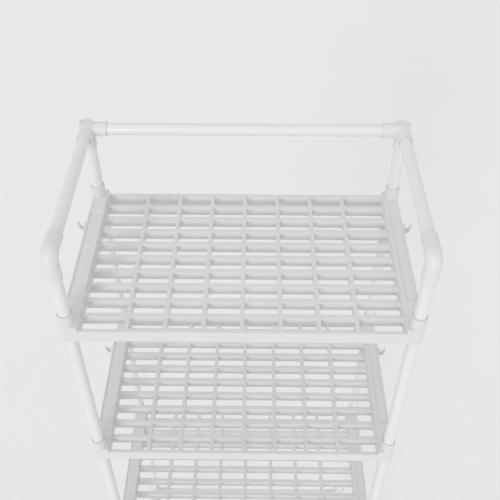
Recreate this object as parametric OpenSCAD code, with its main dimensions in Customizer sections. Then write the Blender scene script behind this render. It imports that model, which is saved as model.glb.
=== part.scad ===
// Over-the-toilet storage rack: three moulded grid shelves on plugged-together steel
// tubes, a guard rail round the top shelf, leg braces and screw-levelled feet.
// Millimetres. Origin on the floor under the middle; the open front faces -Y.

/* [Overall] */
// Distance between the left and right post axes
post_pitch_x = 497; // [400:1:620]
// Distance between the front and rear post axes
post_pitch_y = 286; // [220:1:360]
// Height of the bottom shelf's grid above the floor
bottom_shelf_z = 790; // [700:5:900]
// Height from one shelf's grid to the next
shelf_pitch_z = 325; // [240:5:420]
// Height of the guard rail's axis above the top shelf's grid
guard_z = 140; // [110:1:220]
// Height of the leg brace's axis above the floor
brace_z = 400; // [200:5:560]

/* [Tubes and sockets] */
// Outer diameter of every tube
tube_d = 19; // [16:0.5:23]
// Wall of every tube
tube_wall = 1; // [0.6:0.1:2]
// Radial clearance of a tube in its socket
socket_gap = 0.1; // [0.05:0.05:0.3]
// Wall of a socket or sleeve round its tube
socket_wall = 1.9; // [1.6:0.1:3]
// Depth that a tube plugs into a connector
socket_depth = 22; // [15:1:30]
// Wall between two sockets in line
stop_t = 3; // [2:0.5:5]
// Plastic left between sockets that cross
core_wall = 0.4; // [0.3:0.1:3]
// Depth that a tube plugs into an elbow
elbow_depth = 29; // [20:1:34]
// Radius inside an elbow's bend
elbow_inner_r = 1; // [0.5:0.5:15]
// Thickness of a tee cap's disc, which lies over the arms
cap_t = 1.5; // [1.2:0.1:4]
// Depth of the ring sunk in a tee cap
cap_ring_h = 0.8; // [0.4:0.1:1]
// Width of the rim round a tee cap's ring
cap_rim_w = 3; // [2:0.5:5]

/* [Shelf] */
// Height of the grid's slats and ribs
grid_h = 16; // [10:1:18]
// Thickness of the moulded skin on top
skin_t = 2.2; // [1.6:0.1:3]
// Thickness of the moulded walls below the skin
wall_t = 1.8; // [1.4:0.1:2]
// Width of a slat, which runs left to right
slat_w = 8; // [6:0.5:10]
// Nearest slat spacing; the rows share the opening evenly
slat_pitch_goal = 30; // [22:1:40]
// Width of a rib, which runs front to back
rib_w = 6.5; // [5:0.5:9]
// Spacing of the ribs
rib_pitch = 55; // [40:1:70]
// Height of the front and rear beams
beam_h = 20; // [18:1:30]
// Width of the front and rear beams
end_beam_w = 7; // [6:0.5:24]
// Set-back of the shelf's side faces from the sleeves
side_setback = 2; // [0.5:0.5:3]
// Width of a side beam on the inner side of the sleeves
side_margin = 4; // [3:0.5:12]
// Rise of the side beams above the grid
side_rise = 8.5; // [5:0.5:12]
// Length of the flush corner block, from the post axis
corner_len = 46; // [30:1:60]
// Depth of the trough along the side beam's top
trough_h = 2; // [1:0.5:3]
// Width of the trough's inner lip
lip_w = 6; // [4:0.5:8]
// Width of the trough's outer rim
rim_w = 2.4; // [2:0.2:4]
// Number of hollow bays under a side beam
side_bays = 5; // [3:1:8]
// Rise of the corner sleeves above the grid
sleeve_up = 29; // [24:1:40]
// Drop of the corner sleeves below the grid
sleeve_down = 23; // [22:1:34]

/* [Hooks] */
// Hook's place behind the middle of the shelf
hook_y = 73; // [40:1:80]
// Width of the hook, front to back
hook_w = 8; // [6:0.5:12]
// Height of the hook's foot
hook_h = 14; // [12:1:18]
// Rise of the hook's foot above the grid
hook_over = 3; // [2:0.5:5]
// Depth of the hook's foot, off the beam
hook_foot_t = 5; // [3:0.5:8]
// Thickness of the hook's arm
hook_arm_t = 3; // [2.5:0.5:4]
// Radius of the arm's centre line
hook_r = 9; // [6:0.5:12]
// Straight rise of the tip
hook_tip = 3; // [2:0.5:8]
// Diameter of the hook's peg
hook_peg_d = 6; // [4:0.5:7]
// Length of the peg inside the beam's wall
hook_peg_in = 3; // [2:0.5:4]
// Radial clearance of the peg in the beam's wall
hook_peg_gap = 0.05; // [0.03:0.01:0.1]

/* [Feet] */
// Diameter of the foot pad
pad_d = 34; // [28:1:44]
// Thickness of the foot pad
pad_h = 8; // [6:0.5:12]
// Rubber left under the screw's pivot
pad_floor = 3; // [2:0.5:4]
// Share of the pad's width that its top keeps
pad_taper = 0.7; // [0.6:0.05:0.9]
// Diameter of the levelling screw
screw_d = 8; // [6:1:10]
// Pitch of the levelling screw's thread
thread_pitch = 1.25; // [1:0.25:1.5]
// Depth of the screw's thread
thread_h = 0.6; // [0.4:0.1:0.8]
// Length of the screw inside the foot cap at rest
screw_in = 22; // [18:1:27]
// Plain length of the screw at each end of its thread
screw_plain = 2; // [1:0.5:4]
// Width across the flats of the screw's hexagon
hex_w = 13; // [12:1:17]
// Height of the screw's hexagon
hex_h = 5; // [4:0.5:7]
// Radial clearance of the screw in the cap and the pad
screw_gap = 0.05; // [0.03:0.01:0.1]
// Gap between faces that move apart
face_gap = 0.3; // [0.2:0.1:0.5]
// Gap past the end of the screw or of its pivot
end_gap = 0.5; // [0.3:0.1:1]

/* [Hidden] */
$fn = 64;
eps = 0.01;
x_post = post_pitch_x / 2;
y_post = post_pitch_y / 2;
LEVELS = ["bottom", "middle", "top"];
SIDES = ["left", "right"];
CORNERS = ["front_left", "front_right", "rear_left", "rear_right"];
function level_z(i) = bottom_shelf_z + i * shelf_pitch_z;
function x_sign(name) = name == "left" || name == "front_left" || name == "rear_left" ? -1 : 1;
function y_sign(name) = name == "front_left" || name == "front_right" ? -1 : 1;
guard_axis_z = level_z(2) + guard_z;

// sockets
bore_r = tube_d / 2 + socket_gap;
socket_r = bore_r + socket_wall;
core = bore_r + core_wall;
reach = core + socket_depth;
bend_r = socket_r + elbow_inner_r;
elbow_reach = bend_r + elbow_depth;
sleeve_stop = (sleeve_up - sleeve_down) / 2;
brace_stop = stop_t / 2;

// shelf
x_out = x_post + socket_r - side_setback;
x_in = x_post - socket_r - side_margin;
y_out = y_post + socket_r;
y_in = y_out - end_beam_w;
rib_side = floor((x_in - rib_pitch / 2) / rib_pitch);
rib_x = [for (i = [-rib_side : rib_side]) i * rib_pitch];
cell_lo = concat([-x_in], [for (x = rib_x) x + rib_w / 2]);
cell_hi = concat([for (x = rib_x) x - rib_w / 2], [x_in]);
rows = round((2 * y_in + slat_w) / slat_pitch_goal);
slat_pitch = (2 * y_in + slat_w) / rows;
hole_y = slat_pitch - slat_w;

// hooks
hook_z = hook_over - hook_h / 2;
peg_l = wall_t + hook_peg_in;

// feet, from the floor up
pivot_l = pad_h - pad_floor;
hex_z = pad_h + face_gap;
cap_z = hex_z + hex_h + face_gap;
bore_l = screw_in + 2 * end_gap;
foot_stop_z = cap_z + bore_l + wall_t;
foot_top_z = foot_stop_z + socket_depth;

// ---- shared shapes ----

// A box between two corners
module block(lo, hi) {
    translate(lo) cube(hi - lo);
}

// A steel tube standing on z from lo to hi
module tube(lo, hi) {
    translate([0, 0, lo]) difference() {
        cylinder(d = tube_d, h = hi - lo);
        translate([0, 0, -eps]) cylinder(d = tube_d - 2 * tube_wall, h = hi - lo + 2 * eps);
    }
}

// A socket arm along +Z from the crossing out to its mouth
module arm(out = reach) {
    cylinder(r = socket_r, h = out);
}

module arm_bore(out = reach, depth = socket_depth) {
    translate([0, 0, out - depth]) cylinder(r = bore_r, h = depth + eps);
}

// Turns +Z to +X or to +Y, or upside down
module to_x() { rotate([0, 90, 0]) children(); }
module to_y() { rotate([-90, 0, 0]) children(); }
module down() { rotate([180, 0, 0]) children(); }

// Places a part made for the left or right side, or for one corner
module at_post(corner, z = 0) {
    translate([x_sign(corner) * x_post, y_sign(corner) * y_post, z]) children();
}

// Arms of a part made at the origin point to the middle of the rack
module inward(corner) {
    mirror([x_sign(corner) > 0 ? 1 : 0, 0, 0]) mirror([0, y_sign(corner) > 0 ? 1 : 0, 0]) children();
}

// ---- shelves ----

// The holes of the grid, each grown by `grow` on every side
module grid_holes(lo, hi, grow = 0) {
    for (i = [0 : len(cell_lo) - 1], j = [0 : rows - 1])
        block([cell_lo[i] - grow, -y_in + j * slat_pitch - grow, lo],
              [cell_hi[i] + grow, -y_in + j * slat_pitch + hole_y + grow, hi]);
}

// Open underside of the front and rear beams, with a gusset on every rib
module end_beam_pockets() {
    for (s = [-1, 1], i = [0 : len(cell_lo) - 1])
        block([cell_lo[i] + wall_t / 2, s > 0 ? y_in + wall_t : -y_out + wall_t, -beam_h - eps],
              [cell_hi[i] - wall_t / 2, s > 0 ? y_out - wall_t : -y_in - wall_t, -skin_t]);
}

// Open underside of one side beam, between gussets
module side_beam_pockets(s) {
    bay = 2 * (y_post - socket_r) / side_bays;
    for (i = [0 : side_bays - 1])
        block([s > 0 ? x_in + wall_t : -x_out + wall_t, (i - side_bays / 2) * bay + wall_t / 2, -beam_h - eps],
              [s > 0 ? x_out - wall_t : -x_in - wall_t, (i + 1 - side_bays / 2) * bay - wall_t / 2,
               side_rise - trough_h - skin_t]);
}

// Shallow trough along the top of one side beam, between the corner blocks
module side_trough(s) {
    block([s > 0 ? x_in + lip_w : -x_out + rim_w, -y_post + corner_len, side_rise - trough_h],
          [s > 0 ? x_out - rim_w : -x_in - lip_w, y_post - corner_len, side_rise + eps]);
}

module side_beam(s) {
    difference() {
        union() {
            block([s > 0 ? x_in : -x_out, -y_post, -beam_h], [s > 0 ? x_out : -x_in, y_post, side_rise]);
            block([s > 0 ? x_in : -x_post, -y_out, -beam_h], [s > 0 ? x_post : -x_in, y_out, side_rise]);
        }
        side_beam_pockets(s);
        side_trough(s);
    }
}

module shelf(z) {
    color("white") translate([0, 0, z]) difference() {
        union() {
            difference() {
                union() {
                    block([-x_in - eps, -y_in - eps, -skin_t], [x_in + eps, y_in + eps, 0]);
                    grid_holes(-grid_h, 0, wall_t);
                }
                grid_holes(-grid_h - eps, eps);
            }
            difference() {
                for (s = [-1, 1])
                    block([-x_in - eps, s > 0 ? y_in : -y_out, -beam_h], [x_in + eps, s > 0 ? y_out : -y_in, 0]);
                end_beam_pockets();
            }
            for (s = [-1, 1]) side_beam(s);
            for (c = CORNERS) at_post(c, -sleeve_down) cylinder(r = socket_r, h = sleeve_down + sleeve_up);
        }
        for (c = CORNERS) at_post(c) {
            translate([0, 0, sleeve_stop + stop_t / 2]) cylinder(r = bore_r, h = sleeve_up);
            down() translate([0, 0, stop_t / 2 - sleeve_stop]) cylinder(r = bore_r, h = sleeve_down + stop_t);
        }
        for (s = [-1, 1])
            translate([s * (x_out - wall_t - eps), hook_y, hook_z]) mirror([s > 0 ? 0 : 1, 0, 0])
                to_x() cylinder(d = hook_peg_d + 2 * hook_peg_gap, h = wall_t + 2 * eps);
    }
}

// Points of an arc, from angle a to angle b
function arc(centre, r, a, b, n = 10) =
    [for (i = [0 : n]) centre + r * [cos(a + (b - a) * i / n), sin(a + (b - a) * i / n)]];

// Side outline of a hook: its foot against the beam, a quarter turn and a rounded tip
module hook_outline() {
    low = -hook_h / 2;
    bend = [hook_foot_t, low + hook_arm_t / 2 + hook_r];
    tip = bend + [hook_r, hook_tip];
    polygon(concat(
        [[0, hook_h / 2], [0, low]],
        arc(bend, hook_r + hook_arm_t / 2, -90, 0),
        arc(tip, hook_arm_t / 2, 0, 180),
        arc(bend, hook_r - hook_arm_t / 2, 0, -90),
        [[hook_foot_t, hook_h / 2]]
    ));
}

// Push-in hook on the outer face of a side beam
module hook(level, side) {
    s = x_sign(side);
    color("white") translate([s * x_out, hook_y, level_z(level) + hook_z]) mirror([s > 0 ? 0 : 1, 0, 0]) {
        translate([0, hook_w / 2, 0]) rotate([90, 0, 0]) linear_extrude(hook_w) hook_outline();
        translate([-peg_l, 0, 0]) to_x() cylinder(d = hook_peg_d, h = peg_l + hook_foot_t / 2);
    }
}

// ---- tubes ----

module upright(corner, lo, hi) {
    color("whitesmoke") at_post(corner) tube(lo, hi);
}

// Stops of the sleeves of one shelf, from below and from above
function under_stop(i) = level_z(i) + sleeve_stop - stop_t / 2;
function over_stop(i) = level_z(i) + sleeve_stop + stop_t / 2;
function guard_stop(corner) = guard_axis_z - (y_sign(corner) > 0 ? core : bend_r);

module side_rail(side, z, front_y, rear_y) {
    color("whitesmoke") translate([x_sign(side) * x_post, 0, z]) to_y() tube(front_y, rear_y);
}

module cross_rail(z) {
    color("whitesmoke") translate([0, y_post, z]) to_x() tube(-x_post + core, x_post - core);
}

// ---- connectors ----

// Rear top corner: arms down, inward and forward, with a capped mouth on top
module guard_tee(side) {
    corner = str("rear_", side);
    color("white") at_post(corner, guard_axis_z) inward(corner) difference() {
        union() {
            down() arm();
            cylinder(r = socket_r, h = socket_r);
            to_x() arm();
            to_y() arm();
        }
        down() arm_bore();
        to_x() arm_bore();
        to_y() arm_bore();
        translate([0, 0, core]) cylinder(r = bore_r, h = socket_r);
    }
}

// Push-in cap of the tee's top mouth
module guard_tee_cap(side) {
    color("white") at_post(str("rear_", side), guard_axis_z + socket_r) difference() {
        union() {
            cylinder(r = socket_r, h = cap_t);
            translate([0, 0, core - socket_r]) cylinder(r = bore_r - socket_gap, h = socket_r - core);
        }
        translate([0, 0, cap_t - cap_ring_h]) difference() {
            cylinder(r = socket_r - cap_rim_w, h = cap_ring_h + eps);
            translate([0, 0, -eps]) cylinder(r = socket_r / 3, h = cap_ring_h + 3 * eps);
        }
    }
}

// Front top corner: a bend from the post to the side rail
module guard_elbow(side) {
    corner = str("front_", side);
    color("white") at_post(corner, guard_axis_z) difference() {
        union() {
            translate([0, bend_r, 0]) to_y() cylinder(r = socket_r, h = elbow_depth);
            translate([0, 0, -bend_r]) down() cylinder(r = socket_r, h = elbow_depth);
            translate([0, bend_r, -bend_r]) mirror([0, 1, 0]) rotate([0, -90, 0])
                rotate_extrude(angle = 90) translate([bend_r, 0]) circle(r = socket_r);
        }
        to_y() arm_bore(elbow_reach, elbow_depth);
        down() arm_bore(elbow_reach, elbow_depth);
    }
}

// Leg brace corner: sockets up, down and along the side, and inward at the rear
module brace_connector(corner) {
    color("white") at_post(corner, brace_z) inward(corner) difference() {
        union() {
            translate([0, 0, -reach]) cylinder(r = socket_r, h = 2 * reach);
            to_y() arm();
            if (y_sign(corner) > 0) to_x() arm();
        }
        for (turn = [0, 180]) rotate([turn, 0, 0]) arm_bore();
        to_y() arm_bore();
        if (y_sign(corner) > 0) to_x() arm_bore();
    }
}

// ---- feet ----

// Socket on the end of a leg, with a threaded blind hole under it
module foot_cap(corner) {
    color("white") at_post(corner, cap_z) difference() {
        cylinder(r = socket_r, h = foot_top_z - cap_z);
        translate([0, 0, -eps]) cylinder(d = screw_d + 2 * screw_gap, h = bore_l + eps);
        translate([0, 0, foot_stop_z - cap_z]) cylinder(r = bore_r, h = socket_depth + eps);
    }
}

// Levelling screw: a pivot in the pad, a hexagon and a threaded shank
module foot_screw(corner) {
    grooves = floor((screw_in - 2 * screw_plain) / thread_pitch / 2);
    color("silver") at_post(corner, hex_z) difference() {
        union() {
            translate([0, 0, end_gap - pivot_l - face_gap]) cylinder(d = screw_d, h = pivot_l + face_gap);
            cylinder(d = hex_w / cos(30), h = hex_h, $fn = 6);
            cylinder(d = screw_d, h = hex_h + face_gap + screw_in);
        }
        for (i = [0 : grooves - 1])
            translate([0, 0, hex_h + screw_plain + 2 * i * thread_pitch]) difference() {
                cylinder(d = screw_d + eps, h = thread_pitch);
                translate([0, 0, -eps]) cylinder(d = screw_d - 2 * thread_h, h = thread_pitch + 2 * eps);
            }
    }
}

module foot_pad(corner) {
    color("dimgray") at_post(corner) difference() {
        union() {
            cylinder(d = pad_d, h = pad_h / 2);
            translate([0, 0, pad_h / 2]) cylinder(d1 = pad_d, d2 = pad_d * pad_taper, h = pad_h / 2);
        }
        translate([0, 0, pad_h - pivot_l]) cylinder(d = screw_d + 2 * screw_gap, h = pivot_l + eps);
    }
}

// ---- nodes ----

for (i = [0 : 2]) shelf(level_z(i));
for (c = CORNERS) {
    upright(c, over_stop(2), guard_stop(c));
    upright(c, over_stop(1), under_stop(2));
    upright(c, over_stop(0), under_stop(1));
    upright(c, brace_z + core, under_stop(0));
    upright(c, foot_stop_z, brace_z - core);
    brace_connector(c);
    foot_cap(c);
    foot_screw(c);
    foot_pad(c);
}
for (s = SIDES) {
    side_rail(s, guard_axis_z, bend_r - y_post, y_post - core);
    guard_tee(s);
    guard_tee_cap(s);
    guard_elbow(s);
    side_rail(s, brace_z, core - y_post, y_post - core);
}
for (i = [0 : 2], s = SIDES) hook(i, s);
cross_rail(guard_axis_z);  // guard_rail_rear
cross_rail(brace_z);  // brace_bar_rear
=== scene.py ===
"""Looks of the over-the-toilet rack: moulded plastic shelves and connectors, coated steel
tubes, side hooks and screw-levelled feet. Shapes are worked out in millimetres and stored
in metres, in the frame of the CAD part."""

import math

import bmesh
import bpy
import numpy as np
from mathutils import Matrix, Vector


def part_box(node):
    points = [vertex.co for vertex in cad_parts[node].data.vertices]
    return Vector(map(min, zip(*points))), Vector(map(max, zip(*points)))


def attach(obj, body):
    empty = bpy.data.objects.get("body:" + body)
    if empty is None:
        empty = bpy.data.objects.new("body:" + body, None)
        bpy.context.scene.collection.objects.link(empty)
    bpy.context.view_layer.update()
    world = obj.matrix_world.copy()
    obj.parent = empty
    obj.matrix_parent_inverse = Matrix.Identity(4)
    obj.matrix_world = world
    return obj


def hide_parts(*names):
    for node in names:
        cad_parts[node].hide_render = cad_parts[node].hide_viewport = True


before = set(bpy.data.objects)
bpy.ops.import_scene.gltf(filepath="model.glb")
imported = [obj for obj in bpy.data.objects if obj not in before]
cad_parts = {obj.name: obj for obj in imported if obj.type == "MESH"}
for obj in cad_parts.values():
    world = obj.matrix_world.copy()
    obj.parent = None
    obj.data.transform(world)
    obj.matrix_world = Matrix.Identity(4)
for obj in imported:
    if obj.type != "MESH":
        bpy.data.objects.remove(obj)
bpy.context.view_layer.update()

M = 0.001
ROUND = 64  # sides of a round shape
CORNERS = ["front_left", "front_right", "rear_left", "rear_right"]
SIDES = ["left", "right"]
LEVELS = ["bottom", "middle", "top"]
UP = Vector((0, 0, 1))
SHARP = math.radians(38)  # edges steeper than this stay sharp


# ---- places and sizes read from the frame, in millimetres ----


def low(node):
    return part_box(node)[0] / M


def high(node):
    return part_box(node)[1] / M


def middle(node):
    return (low(node) + high(node)) / 2


def sign(name, word):
    """The side of the rack that a name stands for."""
    return 1 if word in name else -1


def on_post(corner, z):
    """A place on a post's axis."""
    return sign(corner, "right") * X_POST, sign(corner, "rear") * Y_POST, z


POST = middle("upper_post_rear_right")
X_POST, Y_POST = POST.x, POST.y
TUBE_R = (high("upper_post_rear_right").x - low("upper_post_rear_right").x) / 2
SOCKET_R = high("shelf_top").y - Y_POST
Y_OUT = high("shelf_top").y
GUARD_Z = middle("guard_rail_rear").z
BRACE_Z = middle("brace_bar_rear").z

# details that the frame's boxes don't give, in millimetres, as in the CAD part
SOCKET_GAP = 0.1  # round a tube in its socket
GRID_H = 16  # height of the slats and ribs
SKIN = 2.2  # thickness on top
WALL = 1.8  # thickness below the skin
BEAM_H = 20
BEAM_W = 7  # front and rear beams
SIDE_MARGIN = 4  # side beam on the inner side of the sleeves
RISE = 8.5  # side beams above the grid
TROUGH = 2
LIP_W = 6
RIM_W = 2.4
CORNER_LEN = 46
SLEEVE_UP = 29
SLEEVE_DOWN = 23
SLAT_W = 8
RIB_W = 6.5
RIBS = [55 * i for i in range(-3, 4)]
ROWS = 10
BAYS = 5  # hollow bays under a side beam
PEG_L = 4.8  # a hook's peg
STOP_LO, STOP_HI = 1.5, 4.5  # stop inside a sleeve
TUBE_WALL = 1
SCREW_R = 4  # M8
THREAD_DEPTH = 0.6
THREAD_PITCH = 1.25
HEX_ACROSS = 13
FILLET = 3.2  # softness of the connectors' inner corners

BORE_R = TUBE_R + SOCKET_GAP
MOUTH_R = BORE_R + 0.7  # chamfer at a socket's mouth
MOUTH_H = 0.9
HOLE_R = SCREW_R + 0.05
X_OUT = low("hook_top_right").x + PEG_L
X_IN = X_POST - SOCKET_R - SIDE_MARGIN
Y_IN = Y_OUT - BEAM_W
SHELF_Z = {n: high(f"shelf_{n}").z - SLEEVE_UP for n in LEVELS}


# ---- shape helpers ----


def rounded(points, closed=False, steps=5):
    """The line through points (a, b, radius), with its corners rounded."""
    out = []
    n = len(points)
    for i, (x, y, r) in enumerate(points):
        p = Vector((x, y))
        if r == 0 or (not closed and i in (0, n - 1)):
            out.append(p)
            continue
        a = (Vector(points[i - 1][:2]) - p).normalized()
        b = (Vector(points[(i + 1) % n][:2]) - p).normalized()
        half = math.acos(max(-1.0, min(1.0, a.dot(b)))) / 2
        centre = p + (a + b).normalized() * (r / math.sin(half))
        start = p + a * (r / math.tan(half)) - centre
        end = p + b * (r / math.tan(half)) - centre
        a0 = math.atan2(start.y, start.x)
        turn = (math.atan2(end.y, end.x) - a0 + math.pi) % (2 * math.pi) - math.pi
        for k in range(steps + 1):
            t = a0 + turn * k / steps
            out.append(centre + Vector((math.cos(t), math.sin(t))) * r)
    return out


def loft(bm, loops, closed=False, caps=True):
    """A skin over loops of points; closed joins the last loop to the first."""
    rings = [[bm.verts.new(p) for p in loop] for loop in loops]
    pairs = list(zip(rings, rings[1:])) + ([(rings[-1], rings[0])] if closed else [])
    n = len(rings[0])
    for a, b in pairs:
        for i in range(n):
            j = (i + 1) % n
            bm.faces.new((a[i], a[j], b[j], b[i]))
    if caps and not closed:
        bm.faces.new(list(reversed(rings[0])))
        bm.faces.new(rings[-1])
    return rings


def circle(centre, radius, axis=(0, 0, 1), n=ROUND):
    """Points of a circle round an axis; neighbours on one path stay aligned."""
    axis = Vector(axis).normalized()
    side = Vector((1, 0, 0)) if abs(axis.x) < 0.5 else Vector((0, 1, 0))
    up = axis.cross(side)
    angles = [2 * math.pi * i / n for i in range(n)]
    return [Vector(centre) + radius * (math.cos(a) * side + math.sin(a) * up) for a in angles]


def turned(bm, profile, at=(0, 0, 0), axis=(0, 0, 1), closed=False, n=ROUND):
    """A turned shape from a profile of (radius, distance along the axis)."""
    at, axis = Vector(at), Vector(axis)
    loft(bm, [circle(at + axis * p[1], p[0], axis, n) for p in profile], closed)


def rect(x0, x1, y0, y1, radii, z, inset=0.0, n=5):
    """A rounded rectangle, counter-clockwise from its low corner, drawn in by inset."""
    if not isinstance(radii, (list, tuple)):
        radii = [radii] * 4
    x0, x1, y0, y1 = x0 + inset, x1 - inset, y0 + inset, y1 - inset
    out = []
    places = [(x0, y0, 1, 1, 180), (x1, y0, -1, 1, 270), (x1, y1, -1, -1, 0), (x0, y1, 1, -1, 90)]
    for (x, y, sx, sy, a0), r in zip(places, radii):
        r = max(0.15, r - inset)
        for k in range(n + 1):
            a = math.radians(a0 + 90 * k / n)
            out.append(Vector((x + sx * r + r * math.cos(a), y + sy * r + r * math.sin(a), z)))
    return out


def slab(bm, lo, hi, r=0.3):
    """A plate with rounded edges."""
    line = rounded([(r * 2, lo[2], 0), (0, lo[2], r), (0, hi[2], r), (r * 2, hi[2], 0)], steps=2)
    loft(bm, [rect(lo[0], hi[0], lo[1], hi[1], r * 2.2, p.y, p.x, 3) for p in line])


def mesh_of(bm, slot):
    """The mesh of a shape in millimetres, in its slot's material."""
    bmesh.ops.recalc_face_normals(bm, faces=bm.faces)
    bmesh.ops.scale(bm, vec=(M, M, M), verts=bm.verts)
    mesh = bpy.data.meshes.new(slot)
    bm.to_mesh(mesh)
    bm.free()
    mesh.shade_smooth()
    mesh.set_sharp_from_angle(angle=SHARP)
    mesh.materials.append(MATERIALS[slot])
    return mesh


def place(node, kind, mesh, at, body="frame", turn=0.0):
    """Adds the visible piece of one node, and ties it to the frame."""
    obj = bpy.data.objects.new(f"{node}_{kind}", mesh)
    bpy.context.scene.collection.objects.link(obj)
    obj.location = Vector(at) * M
    obj.rotation_euler = (0, 0, turn)
    weighted = obj.modifiers.new("normals", "WEIGHTED_NORMAL")
    weighted.keep_sharp = True
    weighted.weight = 80
    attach(obj, body)
    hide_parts(node)


def merged(bm, other):
    """Adds the other mesh to bm."""
    temp = bpy.data.meshes.new("temp")
    other.to_mesh(temp)
    other.free()
    bm.from_mesh(temp)
    bpy.data.meshes.remove(temp)


def boolean(bm, cutter, operation):
    """The exact boolean of two closed meshes, as a new mesh."""
    objects = []
    for m in (bm, cutter):
        bmesh.ops.recalc_face_normals(m, faces=m.faces)
        mesh = bpy.data.meshes.new("temp")
        m.to_mesh(mesh)
        m.free()
        obj = bpy.data.objects.new("temp", mesh)
        bpy.context.scene.collection.objects.link(obj)
        objects.append(obj)
    mod = objects[0].modifiers.new("cut", "BOOLEAN")
    mod.operation = operation
    mod.solver = "EXACT"
    mod.object = objects[1]
    deps = bpy.context.evaluated_depsgraph_get()
    deps.update()
    out = bmesh.new()
    out.from_mesh(objects[0].evaluated_get(deps).to_mesh())
    for obj in objects:
        mesh = obj.data
        bpy.data.objects.remove(obj)
        bpy.data.meshes.remove(mesh)
    return out


# ---- materials ----


class Nodes:
    """A short way to write the nodes of a material or a world."""

    def __init__(self, owner):
        owner.use_nodes = True
        self.owner = owner
        self.tree = owner.node_tree
        self.coord = self.add("ShaderNodeTexCoord").outputs

    def add(self, kind, inputs=None, **settings):
        node = self.tree.nodes.new(kind)
        for key, value in settings.items():
            setattr(node, key, value)
        for key, value in (inputs or {}).items():
            self.put(node.inputs[key], value)
        return node

    def put(self, socket, value):
        if isinstance(value, bpy.types.NodeSocket):
            self.tree.links.new(value, socket)
        else:
            socket.default_value = value

    def noise(self, scale, detail=2.0, rough=0.5, vector=None):
        vector = vector or self.coord["Object"]
        inputs = {"Vector": vector, "Scale": scale, "Detail": detail, "Roughness": rough}
        return self.add("ShaderNodeTexNoise", inputs).outputs["Fac"]

    def span(self, fac, lo, hi):
        """The noise's usual range, 0.3 to 0.7, spread over lo to hi."""
        ends = {"Value": fac, "From Min": 0.3, "From Max": 0.7, "To Min": lo, "To Max": hi}
        return self.add("ShaderNodeMapRange", ends).outputs["Result"]

    def mix(self, fac, a, b):
        node = self.add("ShaderNodeMix", data_type="RGBA")
        self.put(node.inputs["Factor"], fac)
        self.put(node.inputs["A"], (*a, 1.0))
        self.put(node.inputs["B"], (*b, 1.0))
        return node.outputs["Result"]

    def bump(self, height, strength, distance, normal=None):
        inputs = {"Height": height, "Strength": strength, "Distance": distance}
        if normal is not None:
            inputs["Normal"] = normal
        return self.add("ShaderNodeBump", inputs).outputs["Normal"]

    def calc(self, operation, *values):
        node = self.add("ShaderNodeMath", operation=operation)
        for socket, value in zip(node.inputs, values):
            self.put(socket, value)
        return node.outputs[0]


class Surface(Nodes):
    """The nodes of a new material round its Principled BSDF."""

    def __init__(self, name):
        super().__init__(bpy.data.materials.new(name))
        self.inputs = self.tree.nodes["Principled BSDF"].inputs

    def set(self, **values):
        for key, value in values.items():
            self.put(self.inputs[key.replace("_", " ")], value)


def plastic(name, dark, light, rough, grain):
    """Injection-moulded plastic: faint flow marks, fine texture and slight gloss changes."""
    n = Surface(name)
    flow = n.noise(9.0, 3.0, 0.55)
    n.set(Base_Color=n.mix(n.span(flow, 0.0, 1.0), dark, light))
    n.set(Roughness=n.span(n.noise(60.0, 3.0), rough - 0.05, rough + 0.06))
    waves = n.bump(n.noise(35.0, 1.0), 0.25, 0.0004)
    n.set(Normal=n.bump(n.noise(1800.0, 1.0), grain, 0.00006, waves))
    n.inputs["Specular IOR Level"].default_value = 0.5
    return n.owner


def coated_steel(name):
    """White powder coat on steel tube: glossier than the plastic."""
    n = Surface(name)
    n.set(Base_Color=n.mix(n.noise(14.0, 2.0), (0.812, 0.817, 0.822), (0.826, 0.831, 0.836)))
    n.set(Roughness=n.span(n.noise(80.0, 2.0), 0.3, 0.34))
    n.inputs["Coat Weight"].default_value = 0.25
    n.inputs["Coat Roughness"].default_value = 0.12
    return n.owner


def zinc_steel(name):
    """Zinc-plated steel: metal with soft blotches and fine turning marks."""
    n = Surface(name)
    blotch = n.span(n.noise(220.0, 4.0, 0.6), 0.0, 1.0)
    n.set(Base_Color=n.mix(blotch, (0.50, 0.50, 0.51), (0.66, 0.66, 0.65)))
    n.inputs["Metallic"].default_value = 1.0
    n.set(Roughness=n.span(n.noise(500.0, 2.0), 0.28, 0.42))
    stretch = {"Vector": n.coord["Object"], "Scale": (1.0, 1.0, 18.0)}
    lines = n.add("ShaderNodeMapping", stretch).outputs["Vector"]
    n.set(Normal=n.bump(n.noise(400.0, 2.0, vector=lines), 0.2, 0.0001))
    return n.owner


def soft_rubber(name):
    """Grey rubber: matte, dusty in patches, with a fine moulded grain."""
    n = Surface(name)
    dust = n.span(n.noise(120.0, 4.0, 0.6), 0.0, 1.0)
    n.set(Base_Color=n.mix(dust, (0.085, 0.086, 0.09), (0.125, 0.125, 0.125)))
    n.set(Roughness=n.span(n.noise(300.0, 2.0), 0.72, 0.88))
    n.set(Normal=n.bump(n.noise(2400.0, 2.0), 0.5, 0.0001))
    return n.owner


def grey(level, blue):
    return level, level, blue


MATERIALS = {
    "shelf_plastic": plastic("shelf_plastic", grey(0.745, 0.742), grey(0.775, 0.772), 0.42, 0.35),
    "connector_plastic": plastic("connector_plastic", grey(0.765, 0.763), grey(0.79, 0.788), 0.38, 0.3),
    "hook_plastic": plastic("hook_plastic", grey(0.765, 0.763), grey(0.795, 0.792), 0.34, 0.25),
    "tube_coating": coated_steel("tube_coating"),
    "screw_steel": zinc_steel("screw_steel"),
    "pad_rubber": soft_rubber("pad_rubber"),
}


# ---- shelf ----


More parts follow.
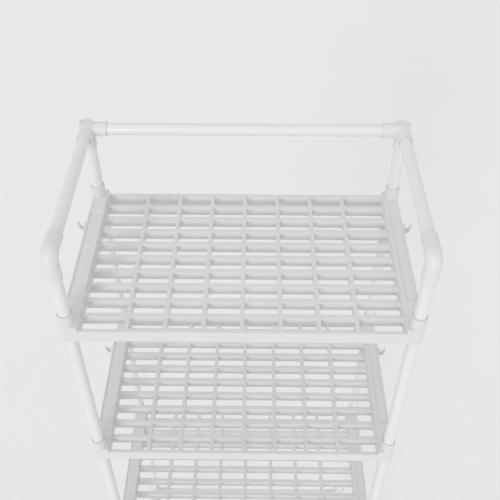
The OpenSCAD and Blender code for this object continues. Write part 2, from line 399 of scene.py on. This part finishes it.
def grid(bm):
    """The slats, ribs and end beams as one closed skin, with the grid's top at z 0."""
    reach = X_IN + 1.5  # into the side beams' inner walls
    xs = [-reach, *RIBS, reach]
    pitch = (2 * Y_IN + SLAT_W) / ROWS
    edge = Y_IN + 3  # outermost lines of the skin, over the end beams
    ys = [-edge, *[-Y_IN - SLAT_W / 2 + pitch * j for j in range(1, ROWS)], edge]
    top = [[bm.verts.new((x, y, 0)) for y in ys] for x in xs]
    under = [[bm.verts.new((x, y, -SKIN)) for y in ys] for x in xs]
    # a hole's skin as (growth, z): rounded rim, drafted wall, rounded lower edge, hollow side
    wall = rounded(
        [
            (1.6, 0, 0),
            (0, 0, 0.9),
            (0.2, -GRID_H, 0.5),
            (WALL - 0.1, -GRID_H, 0.4),
            (WALL, -SKIN, 0),
        ]
    )
    n = 4  # steps in a hole's corner
    for i in range(len(xs) - 1):
        x0 = -X_IN + 1 if i == 0 else xs[i] + RIB_W / 2
        x1 = X_IN - 1 if i == len(xs) - 2 else xs[i + 1] - RIB_W / 2
        for j in range(ROWS):
            y0 = -Y_IN + pitch * j
            y1 = y0 + pitch - SLAT_W
            rings = loft(bm, [rect(x0, x1, y0, y1, 2.2, p.y, -p.x, n) for p in wall], caps=False)
            for plate, ring in ((top, rings[0]), (under, rings[-1])):
                outer = [plate[i][j], plate[i + 1][j], plate[i + 1][j + 1], plate[i][j + 1]]
                for k in range(4):
                    arc = ring[k * (n + 1) : (k + 1) * (n + 1)]
                    for a, b in zip(arc, arc[1:]):
                        bm.faces.new((outer[k], b, a))
                    after = ring[(k + 1) * (n + 1) % len(ring)]
                    bm.faces.new((outer[k], outer[(k + 1) % 4], after, arc[-1]))
    for i in (0, len(xs) - 1):
        for j in range(ROWS):
            bm.faces.new((top[i][j], top[i][j + 1], under[i][j + 1], under[i][j]))
    # end beams: from the top skin out, down the face, round the lower edge and up inside
    beam = rounded(
        [
            (edge + 0.3, 0, 0),
            (Y_OUT - 0.12, 0, 1.3),
            (Y_OUT - 0.12, -BEAM_H, 0.5),
            (Y_OUT - WALL, -BEAM_H, 0.4),
            (Y_OUT - WALL - 0.2, -SKIN, 0.6),
            (edge + 0.3, -SKIN, 0),
        ]
    )
    for s, j in ((-1, 0), (1, ROWS)):
        rows = []
        for i, x in enumerate(xs):
            row = [bm.verts.new((x, s * p.x, p.y)) for p in beam]
            rows.append([top[i][j], *row, under[i][j]])
        for a, b in zip(rows, rows[1:]):
            for k in range(len(a) - 1):
                bm.faces.new((a[k], b[k], b[k + 1], a[k + 1]))
        for row in (rows[0], rows[-1]):
            bm.faces.new(row)
        # inner wall of the beam, and its gussets
        y0, y1 = sorted((s * (Y_IN + 0.12), s * (Y_IN + WALL - 0.05)))
        slab(bm, (-reach, y0, -BEAM_H), (reach, y1, -GRID_H / 2), 0.35)
        y0, y1 = sorted((s * (Y_IN + 1), s * (Y_OUT - 1)))
        for x in RIBS:
            slab(bm, (x - WALL / 2, y0, -BEAM_H + 1.5), (x + WALL / 2, y1, -SKIN / 2))


def side_beam(bm, s):
    """One raised side beam with its trough on top and hollow bays below."""
    x0, x1 = (X_IN, X_OUT) if s > 0 else (-X_OUT, -X_IN)
    radii = [1.4, SOCKET_R, SOCKET_R, 1.4] if s > 0 else [SOCKET_R, 1.4, 1.4, SOCKET_R]
    y_bay = Y_POST - SOCKET_R
    y_trough = Y_POST - CORNER_LEN
    # the hollow, as (growth, z): its roof, then a rounded lower edge
    hollow = [
        (0, RISE - TROUGH - SKIN),
        (0.2, -BEAM_H + 0.5),
        (0.35, -BEAM_H + 0.12),
        (0.7, -BEAM_H),
    ]
    loops = [rect(x0 + WALL, x1 - WALL, -y_bay, y_bay, 1.2, z, -g) for g, z in hollow]
    skin = rounded([(0.9, -BEAM_H, 0), (0, -BEAM_H, 0.5), (0, RISE, 1.1), (1.6, RISE, 0)])
    loops += [rect(x0, x1, -Y_OUT, Y_OUT, radii, p.y, p.x) for p in skin]
    t0, t1 = (x0 + LIP_W, x1 - RIM_W) if s > 0 else (x0 + RIM_W, x1 - LIP_W)
    dip = rounded([(-0.7, RISE, 0), (0, RISE, 0.45), (0.1, RISE - TROUGH, 0.6), (1.4, RISE - TROUGH, 0)])
    loops += [rect(t0, t1, -y_trough, y_trough, 2.4, p.y, p.x) for p in dip]
    loft(bm, loops)
    bay = 2 * y_bay / BAYS
    for i in range(1, BAYS):
        y = -y_bay + i * bay
        slab(bm, (x0 + 1, y - WALL / 2, -BEAM_H + 1.5), (x1 - 1, y + WALL / 2, RISE - TROUGH - SKIN / 2))


def sleeve(bm, x, y):
    """A corner sleeve, with a chamfered mouth above and below and a stop between."""
    r, b = SOCKET_R, BORE_R
    line = rounded(
        [
            (b, STOP_HI, 0),
            (b, SLEEVE_UP - MOUTH_H, 0.3),
            (MOUTH_R, SLEEVE_UP, 0.25),
            (r - 0.1, SLEEVE_UP, 0.6),
            (r, RISE, 0),
            (r, -SLEEVE_DOWN, 0.6),
            (MOUTH_R, -SLEEVE_DOWN, 0.25),
            (b, -SLEEVE_DOWN + MOUTH_H, 0.3),
            (b, STOP_LO, 0),
        ],
        steps=4,
    )
    turned(bm, line, (x, y, 0))


def shelves():
    bm = bmesh.new()
    grid(bm)
    for s in (-1, 1):
        side_beam(bm, s)
        for t in (-1, 1):
            sleeve(bm, s * X_POST, t * Y_POST)
    mesh = mesh_of(bm, "shelf_plastic")
    for level in LEVELS:
        place(f"shelf_{level}", "moulding", mesh, (0, 0, SHELF_Z[level]))


# ---- tubes ----


def tubes():
    """Every tube as a drawn pipe with eased ends."""
    kinds = ["guard_post", "upper_post", "lower_post", "leg_upper", "leg_lower"]
    nodes = [f"{k}_{c}" for k in kinds for c in CORNERS]
    nodes += [f"{k}_{s}" for k in ("guard_rail", "brace_bar") for s in (*SIDES, "rear")]
    for node in nodes:
        size = high(node) - low(node)
        long = max(range(3), key=lambda a: size[a])
        axis = Vector([1.0 if a == long else 0.0 for a in range(3)])
        half = size[long] / 2
        inner = TUBE_R - TUBE_WALL
        line = rounded(
            [(TUBE_R, -half, 0.25), (TUBE_R, half, 0.25), (inner, half, 0.25), (inner, -half, 0.25)],
            closed=True,
            steps=2,
        )
        bm = bmesh.new()
        turned(bm, line, axis=axis, closed=True)
        place(node, "tube", mesh_of(bm, "tube_coating"), middle(node))


# ---- connectors ----


def arm(axis, length, back=0.0, ease=0.8):
    """A solid socket arm from the crossing to a rounded mouth, ringed finely near the crossing."""
    bm = bmesh.new()
    r = SOCKET_R
    fine = r + 4  # end of the finely ringed part
    plain = length - 2  # start of the mouth
    rings = [-back + (fine + back) * i / 20 for i in range(20)]
    near = [(r, z) for z in rings if z < plain]
    mouth = rounded([(r, plain, 0), (r, length, ease), (r - 1.2, length, 0)], steps=6)
    turned(bm, [*near, *mouth], axis=axis)
    return bm


def bore(axis, start, end):
    """The cutter for a socket's bore, with a chamfered mouth."""
    bm = bmesh.new()
    turned(bm, [(BORE_R, start), (BORE_R, end - 0.8), (MOUTH_R, end), (MOUTH_R, end + 2)], axis=axis)
    return bm


def smooth_distance(p, axes, soft):
    """Distance and normal of points to the arms' smooth union; tangent arms don't swell."""
    total, normal = None, None
    for axis in axes:
        a = np.array(axis)
        off = p - np.maximum(p @ a, 0)[:, None] * a
        length = np.linalg.norm(off, axis=1)
        d, n = length - SOCKET_R, off / length[:, None]
        if total is None:
            total, normal = d, n
            continue
        reach = np.clip(1 - (n * normal).sum(axis=1), 1e-6, 1) * soft
        h = np.clip(1 - np.abs(total - d) / reach, 0, 1)
        nearer = (total < d)[:, None]
        blend = (h * h / 2)[:, None]
        normal = np.where(nearer, normal * (1 - blend) + n * blend, n * (1 - blend) + normal * blend)
        normal /= np.linalg.norm(normal, axis=1)[:, None]
        total = np.minimum(total, d) - h * h * reach / 4
    return total, normal


def crossing(axes, core, reach, head=None):
    """Arms joined at the origin, with smooth inner corners and a bore in each mouth."""
    bm = head
    for axis in axes:
        one = arm(axis, reach)
        bm = one if bm is None else boolean(bm, one, "UNION")
    lines = axes if head is None else [*axes, UP]
    # the skin near the crossing moves onto the smooth union; ends and mouths stay
    spots = [v for v in bm.verts if v.co.length < 1.9 * SOCKET_R]
    p = np.array([v.co[:] for v in spots])
    on_skin = (np.abs(smooth_distance(p, lines, 1e-6)[0]) < 0.03)[:, None]
    for _ in range(8):
        d, n = smooth_distance(p, lines, FILLET)
        p = np.where(on_skin, p - n * d[:, None], p)
    for v, co in zip(spots, p):
        v.co = co
    for axis in axes:
        bm = boolean(bm, bore(axis, core, reach), "DIFFERENCE")
    return bm


def inward(corner):
    return Vector((-sign(corner, "right"), 0, 0)), Vector((0, -sign(corner, "rear"), 0))


def tees():
    """Rear corners of the guard rail, each with a push-in cap on top."""
    reach = high("guard_tee_left").x + X_POST
    core = X_POST + low("guard_rail_rear").x
    for side in SIDES:
        corner = f"rear_{side}"
        head = arm(UP, SOCKET_R, back=core, ease=0.3)
        bm = crossing([-UP, *inward(corner)], core, reach, head)
        bm = boolean(bm, bore(UP, core, SOCKET_R), "DIFFERENCE")
        mesh = mesh_of(bm, "connector_plastic")
        place(f"guard_tee_{side}", "body", mesh, on_post(corner, GUARD_Z))

        disc_h = high(f"guard_tee_cap_{side}").z - GUARD_Z - SOCKET_R
        edge = SOCKET_R - 0.1
        bm = bmesh.new()
        line = rounded(
            [
                (TUBE_R - 0.2, core - SOCKET_R, 0),
                (TUBE_R, 0, 0.1),
                (edge, 0, 0.1),
                (edge, disc_h, 0.6),
                (8.6, disc_h, 0.15),  # a ring groove, shallower inwards
                (8.4, disc_h - 1.1, 0.15),
                (4.2, disc_h - 0.5, 0.15),
                (3.9, disc_h, 0.15),
                (1.0, disc_h, 0),
            ],
            steps=4,
        )
        turned(bm, line)
        mesh = mesh_of(bm, "connector_plastic")
        at = on_post(corner, GUARD_Z + SOCKET_R)
        place(f"guard_tee_cap_{side}", "disc", mesh, at)


def elbows():
    """A smooth bend from the post to the side rail, with a socket in each end."""
    bend = GUARD_Z - high("guard_post_front_left").z
    depth = high("guard_post_front_left").z - low("guard_elbow_left").z
    mouth = rounded(
        [
            (BORE_R, depth, 0),
            (BORE_R, MOUTH_H, 0.3),
            (MOUTH_R, 0, 0.25),
            (SOCKET_R, 0, 0.8),
            (SOCKET_R, 5, 0),
        ],
        steps=4,
    )
    loops = [circle((0, 0, -bend - depth + p.y), p.x) for p in mouth]
    steps = 20
    for k in range(steps + 1):
        a = math.pi / 2 * k / steps
        centre = (0, bend - bend * math.cos(a), -bend + bend * math.sin(a))
        loops.append(circle(centre, SOCKET_R, (0, math.sin(a), math.cos(a))))
    loops += [circle((0, bend + depth - p.y, 0), p.x, (0, 1, 0)) for p in reversed(mouth)]
    bm = bmesh.new()
    loft(bm, loops)
    mesh = mesh_of(bm, "connector_plastic")
    for side in SIDES:
        at = on_post(f"front_{side}", GUARD_Z)
        place(f"guard_elbow_{side}", "bend", mesh, at)


def braces():
    """Connectors on the legs, for the brace bars."""
    reach = high("brace_connector_front_left").z - BRACE_Z
    core = X_POST + low("brace_bar_rear").x
    for corner in CORNERS:
        to_middle, along = inward(corner)
        axes = [UP, -UP, along]
        if "rear" in corner:
            axes.append(to_middle)
        mesh = mesh_of(crossing(axes, core, reach), "connector_plastic")
        at = on_post(corner, BRACE_Z)
        place(f"brace_connector_{corner}", "body", mesh, at)


# ---- hooks ----


def arc(centre, radius, start, end, n=16):
    """Points of an arc between two angles in degrees."""
    angles = [math.radians(start + (end - start) * i / n) for i in range(n + 1)]
    return [centre + radius * Vector((math.cos(a), math.sin(a))) for a in angles]


def hooks():
    """A J hook: a foot on the beam, a round arm and a full tip."""
    height, width = 14, 8
    foot = 5  # depth of the foot on the beam
    bar = 3
    r = 9  # of the bend's middle line
    tip = 3  # straight part above the bend
    bend = Vector((foot, -height / 2 + bar / 2 + r))
    end = bend + Vector((r, tip))
    outline = [Vector((0, height / 2)), Vector((0, -height / 2))]
    outline += arc(bend, r + bar / 2, -90, 0)
    outline += arc(end, bar / 2, 0, 180, 10)
    outline += arc(bend, r - bar / 2, 0, -90)
    outline += [p + Vector((foot, height / 2)) for p in arc(Vector((-1.2, -1.2)), 1.2, 0, 90, 5)]
    bm = bmesh.new()
    front = [bm.verts.new((p.x, -width / 2, p.y)) for p in outline]
    back = [bm.verts.new((p.x, width / 2, p.y)) for p in outline]
    bm.faces.new(front)
    bm.faces.new(list(reversed(back)))
    n = len(outline)
    for i in range(n):
        j = (i + 1) % n
        bm.faces.new((front[j], front[i], back[i], back[j]))
    bmesh.ops.recalc_face_normals(bm, faces=bm.faces)
    rims = [e for e in bm.edges if abs(e.verts[0].co.y - e.verts[1].co.y) < 0.01]
    bmesh.ops.bevel(bm, geom=rims, offset=0.7, segments=3, profile=0.5, affect="EDGES", clamp_overlap=True)
    mesh = mesh_of(bm, "hook_plastic")
    for level in LEVELS:
        for side in SIDES:
            node = f"hook_{level}_{side}"
            out = sign(side, "right")
            at = (out * X_OUT, middle(node).y, low(node).z + height / 2)
            place(node, "arm", mesh, at, turn=math.pi if out < 0 else 0.0)


# ---- feet ----


def foot_cap():
    """The socket on a leg's end, with a hole for the screw."""
    lo, hi = low("foot_cap_rear_right").z, high("foot_cap_rear_right").z
    leg = low("leg_lower_rear_right").z
    bm = bmesh.new()
    line = rounded(
        [
            (HOLE_R, leg - 1.8, 0),
            (HOLE_R, lo + 0.6, 0),
            (4.6, lo, 0.1),
            (SOCKET_R, lo, 0.8),
            (SOCKET_R, hi, 0.8),
            (MOUTH_R, hi, 0.25),
            (BORE_R, hi - MOUTH_H, 0.3),
            (BORE_R, leg, 0),
        ],
        steps=4,
    )
    turned(bm, line)
    return bm


def foot_pad():
    """A domed pad with a groove round its rim and two rings under it."""
    h = high("foot_pad_rear_right").z
    r = (high("foot_pad_rear_right").x - low("foot_pad_rear_right").x) / 2
    bm = bmesh.new()
    dome = [
        (HOLE_R, 3, 0),
        (HOLE_R, h - 0.6, 0.2),
        (4.7, h, 0.2),
        (r * 0.7, h, 1.2),
        (r - 0.1, h / 2 + 0.4, 0.8),
    ]
    groove = [
        (r, 2.6, 0.3),
        (r - 0.5, 2.2, 0.2),
        (r - 0.5, 1.7, 0.2),
        (r, 1.3, 0.3),
        (r, 0, 0.7),
    ]
    sole = []
    for at in (3, 8):
        sole += [(r - at - d, z, 0.2) for d, z in ((0, 0), (0.4, 0.8), (2, 0.8), (2.4, 0))]
    turned(bm, rounded([*dome, *groove, *sole, (1, 0, 0)], steps=3))
    return bm


def foot_screw():
    """A levelling screw: a plain end in the pad, a hexagon, and the thread above."""
    lo, hi = low("foot_screw_rear_right").z, high("foot_screw_rear_right").z
    hex_lo = high("foot_pad_rear_right").z + 0.3
    hex_hi = hex_lo + 5
    bm = bmesh.new()
    turned(bm, rounded([(3.2, lo, 0), (SCREW_R, lo + 0.7, 0.2), (SCREW_R, hex_lo + 0.5, 0)], steps=2))
    flat = HEX_ACROSS / 2
    corner = flat / math.cos(math.pi / 6)
    blank = bmesh.new()
    turned(blank, [(corner, hex_lo), (corner, hex_hi)], n=6)
    ease = bmesh.new()
    barrel = [
        (flat - 0.2, hex_lo - 0.01),
        (flat + 1.3, hex_lo + 0.8),
        (flat + 1.3, hex_hi - 0.8),
        (flat - 0.2, hex_hi + 0.01),
    ]
    turned(ease, barrel)
    merged(bm, boolean(blank, ease, "INTERSECT"))
    turned(bm, [(SCREW_R, hex_hi - 1), (SCREW_R, hex_hi + 1.5), (3.4, hex_hi + 2.2), (3.0, hex_hi + 2.2)])
    thread(bm, hex_hi + 1.0, hi - 0.6)
    turned(bm, [(3.35, hi - 2.5), (3.35, hi - 0.6), (2.6, hi), (0.8, hi)])
    return bm


def thread(bm, z0, z1, n=28):
    """A helical thread between two heights."""
    root = SCREW_R - THREAD_DEPTH
    shape = [(0.0, root), (0.36, SCREW_R), (0.5, SCREW_R), (0.86, root)]  # (part of a pitch, radius)
    step = len(shape)
    turns = int((z1 - z0) / THREAD_PITCH) - 1
    rows = []
    for t in range(turns * step + 1):
        turn, k = divmod(t, step)
        part, radius = shape[k]
        row = []
        for i in range(n):
            a = 2 * math.pi * i / n
            z = z0 + THREAD_PITCH * (turn + part + i / n)
            row.append(bm.verts.new((radius * math.cos(a), radius * math.sin(a), z)))
        rows.append(row)
    for t in range(len(rows) - 1):
        for i in range(n - 1):
            bm.faces.new((rows[t][i], rows[t][i + 1], rows[t + 1][i + 1], rows[t + 1][i]))
        if t + 1 + step < len(rows):
            bm.faces.new((rows[t][n - 1], rows[t + step][0], rows[t + 1 + step][0], rows[t + 1][n - 1]))


def feet():
    """Levelling feet: the cap stays on the leg, the screw turns, the pad slides."""
    cap = mesh_of(foot_cap(), "connector_plastic")
    pad = mesh_of(foot_pad(), "pad_rubber")
    screw = mesh_of(foot_screw(), "screw_steel")
    for corner in CORNERS:
        at = on_post(corner, 0)
        place(f"foot_cap_{corner}", "socket", cap, at)
        place(f"foot_pad_{corner}", "rubber", pad, at, f"pad_{corner}")
        place(f"foot_screw_{corner}", "bolt", screw, at, f"screw_{corner}")


# ---- camera, light and floor ----


def camera():
    """The view from in front and above."""
    data = bpy.data.cameras.new("camera")
    data.lens = 51.3
    data.sensor_width = 36
    data.clip_start, data.clip_end = 0.05, 60
    obj = bpy.data.objects.new("camera", data)
    obj.location = Vector((18.4, -Y_POST - 653.2, SHELF_Z["top"] + 782)) * M
    obj.rotation_euler = (math.radians(90 - 43.92), 0, math.radians(0.61))
    bpy.context.scene.collection.objects.link(obj)
    bpy.context.scene.camera = obj


def light():
    """A bright room, lighter at the left, at the right and above, and one broad light in front."""
    world = bpy.data.worlds.new("world")
    n = Nodes(world)
    split = n.add("ShaderNodeSeparateXYZ", {0: n.coord["Generated"]}).outputs
    sideways = n.calc("POWER", split["X"], 2)
    level = n.calc("MULTIPLY_ADD", sideways, 0.25, 0.57)
    level = n.calc("MULTIPLY_ADD", split["Z"], 0.22, level)
    background = n.tree.nodes["Background"]
    n.put(background.inputs["Color"], (0.985, 0.992, 1.0, 1))
    n.put(background.inputs["Strength"], level)
    bpy.context.scene.world = world

    towards = Vector((-0.3, -0.9, 0.34))
    key = bpy.data.lights.new("key", "SUN")
    key.angle = math.radians(14)
    key.energy = 0.86
    key.color = (1.0, 0.99, 0.975)
    lamp = bpy.data.objects.new("key", key)
    lamp.location = towards * 3
    lamp.rotation_euler = towards.to_track_quat("Z", "Y").to_euler()
    bpy.context.scene.collection.objects.link(lamp)
    bpy.context.scene.view_settings.view_transform = "Standard"


def ground():
    """A pale matte floor."""
    bm = bmesh.new()
    bmesh.ops.create_grid(bm, x_segments=1, y_segments=1, size=14)
    mesh = bpy.data.meshes.new("floor")
    bm.to_mesh(mesh)
    bm.free()
    floor = bpy.data.objects.new("floor", mesh)
    bpy.context.scene.collection.objects.link(floor)
    n = Surface("floor")
    n.set(Base_Color=n.mix(n.noise(3.0, 3.0), (0.925, 0.925, 0.92), (0.95, 0.95, 0.945)))
    n.set(Roughness=n.span(n.noise(8.0), 0.85, 0.95))
    n.inputs["Specular IOR Level"].default_value = 0.1
    mesh.materials.append(n.owner)


camera()
light()
ground()
shelves()
tubes()
tees()
elbows()
braces()
hooks()
feet()
